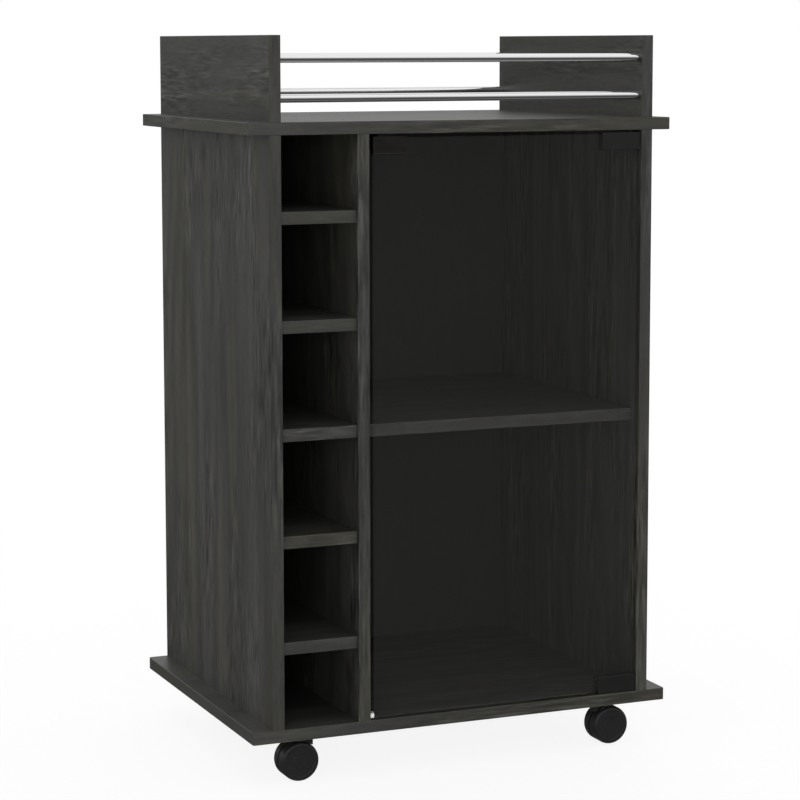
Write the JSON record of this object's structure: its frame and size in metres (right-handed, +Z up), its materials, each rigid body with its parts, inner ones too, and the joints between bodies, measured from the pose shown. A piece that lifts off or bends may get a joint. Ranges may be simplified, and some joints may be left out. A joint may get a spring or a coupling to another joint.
{
  "type": "bar cart",
  "caption": "Bar cart on swivel casters: bottle cubbies beside a glass-door compartment, and a top tray fenced by side boards and round rails.",
  "frame": {"origin": "on the floor under the middle of the case", "axes": "+Z up, -Y out of the front (door side), +X to the right as seen from the front"},
  "size_m": [0.55, 0.41, 0.888],
  "materials": {
    "charcoal_woodgrain": "matt embossed wood-grain melamine",
    "back_hardboard": "matt printed hardboard",
    "beech": "plain",
    "chrome": "polished",
    "tinted_glass": "polished",
    "dark_clip_metal": "satin",
    "strike_steel": "satin",
    "zinc_steel": "zinc plated",
    "caster_steel": "zinc plated",
    "black_plastic": "moulded",
    "caster_wheel": "moulded",
    "latch_grey": "moulded",
    "white_plastic": "moulded",
    "soft_pad": "soft"
  },
  "bodies": {
    "cabinet": {"top_board": "charcoal_woodgrain", "base_board": "charcoal_woodgrain", "left_side_panel": "charcoal_woodgrain", "right_side_panel": "charcoal_woodgrain", "divider_panel": "charcoal_woodgrain", "bottle_shelf_1": "charcoal_woodgrain", "bottle_shelf_2": "charcoal_woodgrain", "bottle_shelf_3": "charcoal_woodgrain", "bottle_shelf_4": "charcoal_woodgrain", "bottle_shelf_5": "charcoal_woodgrain", "cabinet_shelf": "charcoal_woodgrain", "back_panel": "back_hardboard", "gallery_board_left": "charcoal_woodgrain", "gallery_board_right": "charcoal_woodgrain", "rail_front_upper": "chrome", "rail_front_lower": "chrome", "rail_back_upper": "chrome", "rail_back_lower": "chrome", "wood_dowels": "beech", "cam_bolts": "zinc_steel", "cam_locks": "zinc_steel", "cam_covers": "charcoal_woodgrain", "gallery_screws": "zinc_steel", "rail_bushings": "black_plastic", "shelf_pins": "zinc_steel", "door_pivot_bushings": "black_plastic", "door_bumper": "white_plastic", "latch_body": "black_plastic", "latch_spring": "zinc_steel", "latch_screws": "zinc_steel", "front_left_caster_plate": "caster_steel", "front_right_caster_plate": "caster_steel", "back_left_caster_plate": "caster_steel", "back_right_caster_plate": "caster_steel", "caster_kingpins": "caster_steel", "caster_screws": "zinc_steel"},
    "door": {"glass_door": "tinted_glass", "hinge_clip_top": "dark_clip_metal", "hinge_clip_bottom": "dark_clip_metal", "hinge_clip_pads": "soft_pad", "hinge_grub_screws": "zinc_steel", "door_pivot_pins": "dark_clip_metal", "strike_clip": "strike_steel"},
    "latch_plunger": {"latch_plunger": "latch_grey"},
    "front_left_caster": {"front_left_caster_hood": "black_plastic", "front_left_caster_axle": "caster_steel"},
    "front_left_wheel_1": {"front_left_caster_wheel_1": "caster_wheel"},
    "front_left_wheel_2": {"front_left_caster_wheel_2": "caster_wheel"},
    "front_right_caster": {"front_right_caster_hood": "black_plastic", "front_right_caster_axle": "caster_steel"},
    "front_right_wheel_1": {"front_right_caster_wheel_1": "caster_wheel"},
    "front_right_wheel_2": {"front_right_caster_wheel_2": "caster_wheel"},
    "back_left_caster": {"back_left_caster_hood": "black_plastic", "back_left_caster_axle": "caster_steel"},
    "back_left_wheel_1": {"back_left_caster_wheel_1": "caster_wheel"},
    "back_left_wheel_2": {"back_left_caster_wheel_2": "caster_wheel"},
    "back_right_caster": {"back_right_caster_hood": "black_plastic", "back_right_caster_axle": "caster_steel"},
    "back_right_wheel_1": {"back_right_caster_wheel_1": "caster_wheel"},
    "back_right_wheel_2": {"back_right_caster_wheel_2": "caster_wheel"}
  },
  "joints": [
    {"name": "door_hinge", "type": "hinge", "parent": "cabinet", "child": "door", "pos_m": [0.222, -0.199, 0.42], "axis": [0, 0, 1], "range_deg": [0, 130]},
    {"name": "latch_push", "type": "slide", "parent": "cabinet", "child": "latch_plunger", "axis": [0, 1, 0], "range_m": [0, 0.003], "stiffness_N_per_m": 500, "springref_m": -0.003},
    {"name": "front_left_swivel", "type": "hinge", "parent": "cabinet", "child": "front_left_caster", "pos_m": [-0.196, -0.173, 0.05], "axis": [0, 0, 1], "continuous": true},
    {"name": "front_left_wheel_1_spin", "type": "hinge", "parent": "front_left_caster", "child": "front_left_wheel_1", "pos_m": [-0.209, -0.173, 0.024], "axis": [0, 1, 0], "continuous": true},
    {"name": "front_left_wheel_2_spin", "type": "hinge", "parent": "front_left_caster", "child": "front_left_wheel_2", "pos_m": [-0.209, -0.173, 0.024], "axis": [0, 1, 0], "continuous": true},
    {"name": "front_right_swivel", "type": "hinge", "parent": "cabinet", "child": "front_right_caster", "pos_m": [0.196, -0.173, 0.05], "axis": [0, 0, 1], "continuous": true},
    {"name": "front_right_wheel_1_spin", "type": "hinge", "parent": "front_right_caster", "child": "front_right_wheel_1", "pos_m": [0.209, -0.173, 0.024], "axis": [0, 1, 0], "continuous": true},
    {"name": "front_right_wheel_2_spin", "type": "hinge", "parent": "front_right_caster", "child": "front_right_wheel_2", "pos_m": [0.209, -0.173, 0.024], "axis": [0, 1, 0], "continuous": true},
    {"name": "back_left_swivel", "type": "hinge", "parent": "cabinet", "child": "back_left_caster", "pos_m": [-0.196, 0.109, 0.05], "axis": [0, 0, 1], "continuous": true},
    {"name": "back_left_wheel_1_spin", "type": "hinge", "parent": "back_left_caster", "child": "back_left_wheel_1", "pos_m": [-0.196, 0.096, 0.024], "axis": [1, 0, 0], "continuous": true},
    {"name": "back_left_wheel_2_spin", "type": "hinge", "parent": "back_left_caster", "child": "back_left_wheel_2", "pos_m": [-0.196, 0.096, 0.024], "axis": [1, 0, 0], "continuous": true},
    {"name": "back_right_swivel", "type": "hinge", "parent": "cabinet", "child": "back_right_caster", "pos_m": [0.196, 0.109, 0.05], "axis": [0, 0, 1], "continuous": true},
    {"name": "back_right_wheel_1_spin", "type": "hinge", "parent": "back_right_caster", "child": "back_right_wheel_1", "pos_m": [0.196, 0.096, 0.024], "axis": [1, 0, 0], "continuous": true},
    {"name": "back_right_wheel_2_spin", "type": "hinge", "parent": "back_right_caster", "child": "back_right_wheel_2", "pos_m": [0.196, 0.096, 0.024], "axis": [1, 0, 0], "continuous": true}
  ]
}
